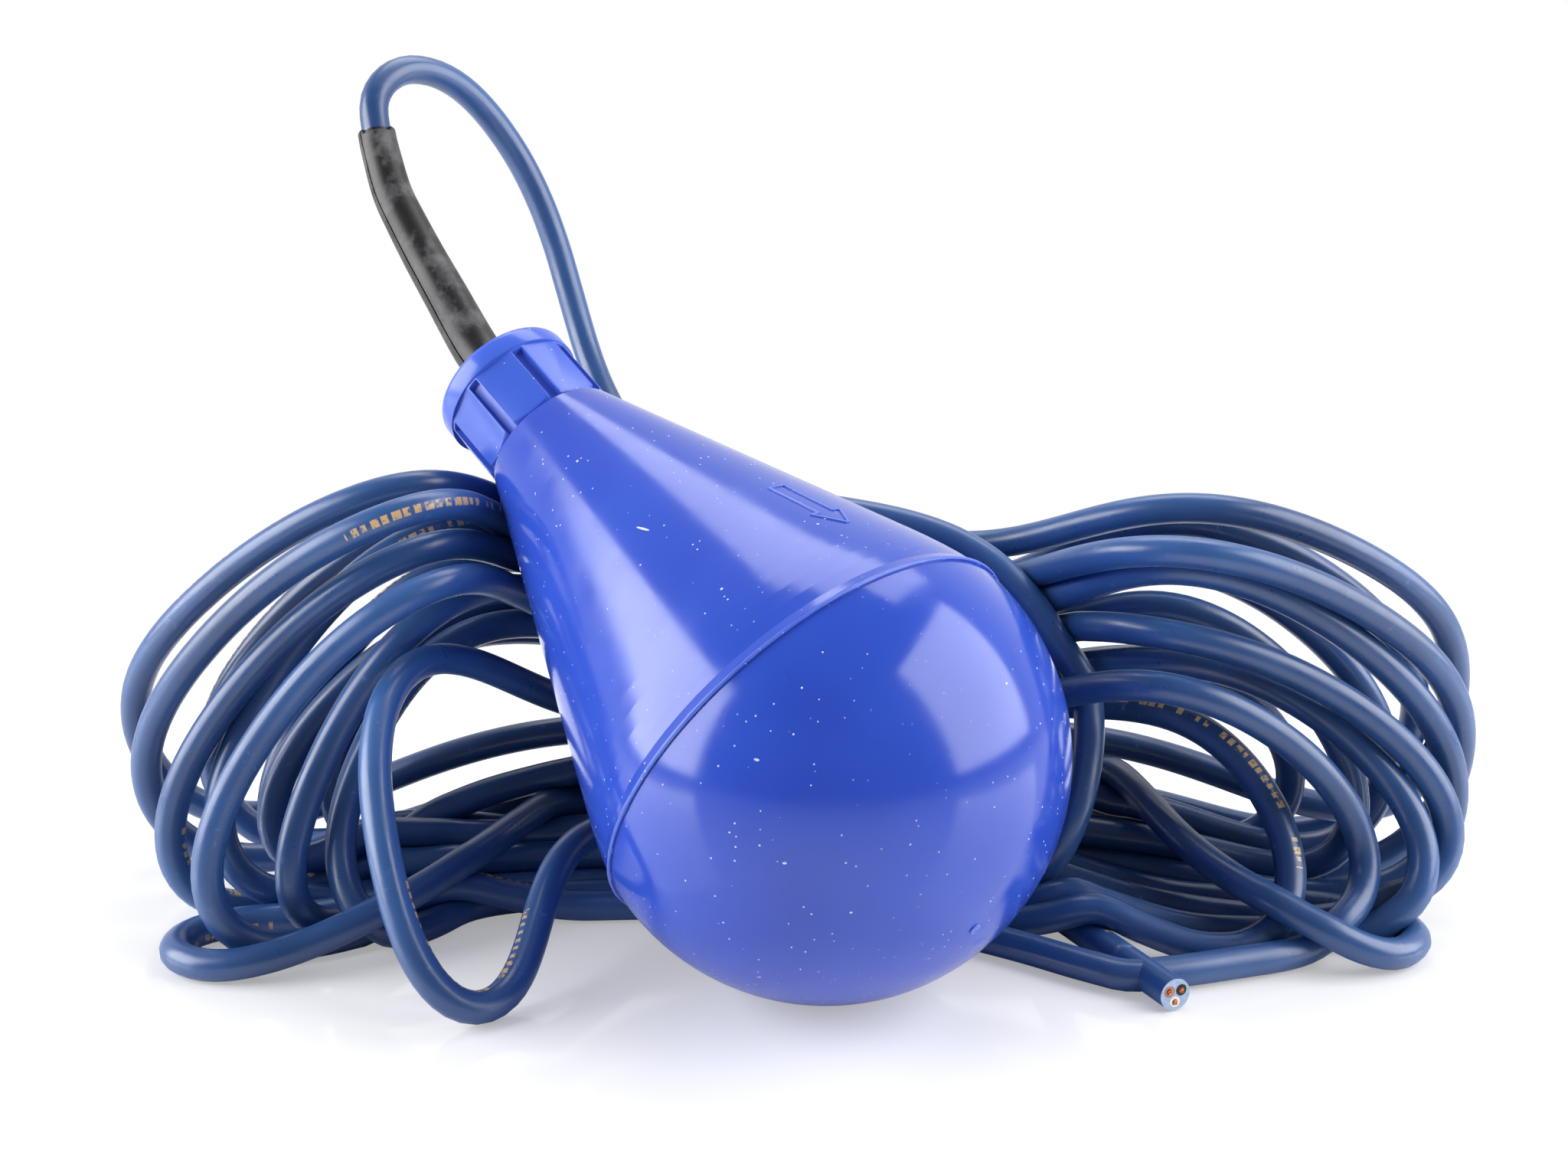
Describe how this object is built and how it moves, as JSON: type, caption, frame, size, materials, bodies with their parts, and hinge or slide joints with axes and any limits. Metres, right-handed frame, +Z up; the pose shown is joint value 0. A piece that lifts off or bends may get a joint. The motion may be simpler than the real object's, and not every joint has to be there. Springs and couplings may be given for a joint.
{
  "type": "float switch",
  "caption": "Drop-shaped blue float switch with a screwed cable gland and bend sleeve, leaning on a hank of its own round lead, which ends in a bare cut.",
  "frame": {"origin": "on the floor below the middle of the float's own box, the lead left out", "axes": "+Y the way the float's nut end leans, +Z up, +X across the float"},
  "size_m": [0.2785, 0.2838, 0.1889],
  "materials": {
    "float_shell": "glossy blue moulded plastic",
    "gland_plastic": "blue moulded plastic",
    "sleeve_rubber": "dull black rubber",
    "seal_rubber": "black rubber",
    "inner_plastic": "natural moulded plastic",
    "track_plastic": "natural moulded plastic",
    "roller_steel": "polished steel",
    "switch_plastic": "black switch case",
    "spring_steel": "bare steel",
    "plunger_plastic": "red button",
    "blade_brass": "brass blades",
    "cable_jacket": "semi-gloss navy jacket",
    "core_brown": "brown insulation",
    "core_black": "black insulation",
    "core_white": "white insulation",
    "copper": "bare stranded copper"
  },
  "bodies": {
    "float": {"casing_cone": "float_shell", "casing_bowl": "float_shell", "gland_nut": "gland_plastic", "gland_washer": "inner_plastic", "gland_seal": "seal_rubber", "bend_sleeve": "sleeve_rubber", "switch_carrier": "inner_plastic", "carrier_lid": "inner_plastic", "ball_track": "track_plastic", "switch_body": "switch_plastic", "lever_pin": "spring_steel", "switch_blades": "blade_brass", "switch_screws": "spring_steel", "cable_clamp": "inner_plastic", "clamp_screws": "spring_steel", "cable_stub": "cable_jacket", "inner_core_a": "core_brown", "inner_core_b": "core_black", "inner_core_c": "core_white", "cable_lead": "cable_jacket", "cable_hank": "cable_jacket", "cable_loop": "cable_jacket", "cable_tail": "cable_jacket", "cable_end": "cable_jacket", "end_core_a": "core_brown", "end_core_b": "core_black", "end_core_c": "core_white", "end_wire_a": "copper", "end_wire_b": "copper", "end_wire_c": "copper"},
    "roller": {"roller_ball": "roller_steel"},
    "lever": {"switch_lever": "spring_steel"},
    "plunger": {"switch_plunger": "plunger_plastic"}
  },
  "joints": [
    {"name": "roller_slide", "type": "slide", "parent": "float", "child": "roller", "axis": [0, 0.8348, 0.5505], "range_m": [0, 0.003]},
    {"name": "lever_hinge", "type": "hinge", "parent": "float", "child": "lever", "pos_m": [-0.0125, -0.00754, 0.06481], "axis": [0, -0.5505, 0.8348], "range_deg": [0, 13.8]},
    {"name": "plunger_slide", "type": "slide", "parent": "float", "child": "plunger", "axis": [0, 0.8348, 0.5505], "range_m": [0, 0.0015]}
  ],
  "couplings": [
    {"joint": "lever_hinge", "follows": "roller_slide", "rad_per_m": 80},
    {"joint": "plunger_slide", "follows": "roller_slide", "ratio": 0.5}
  ]
}
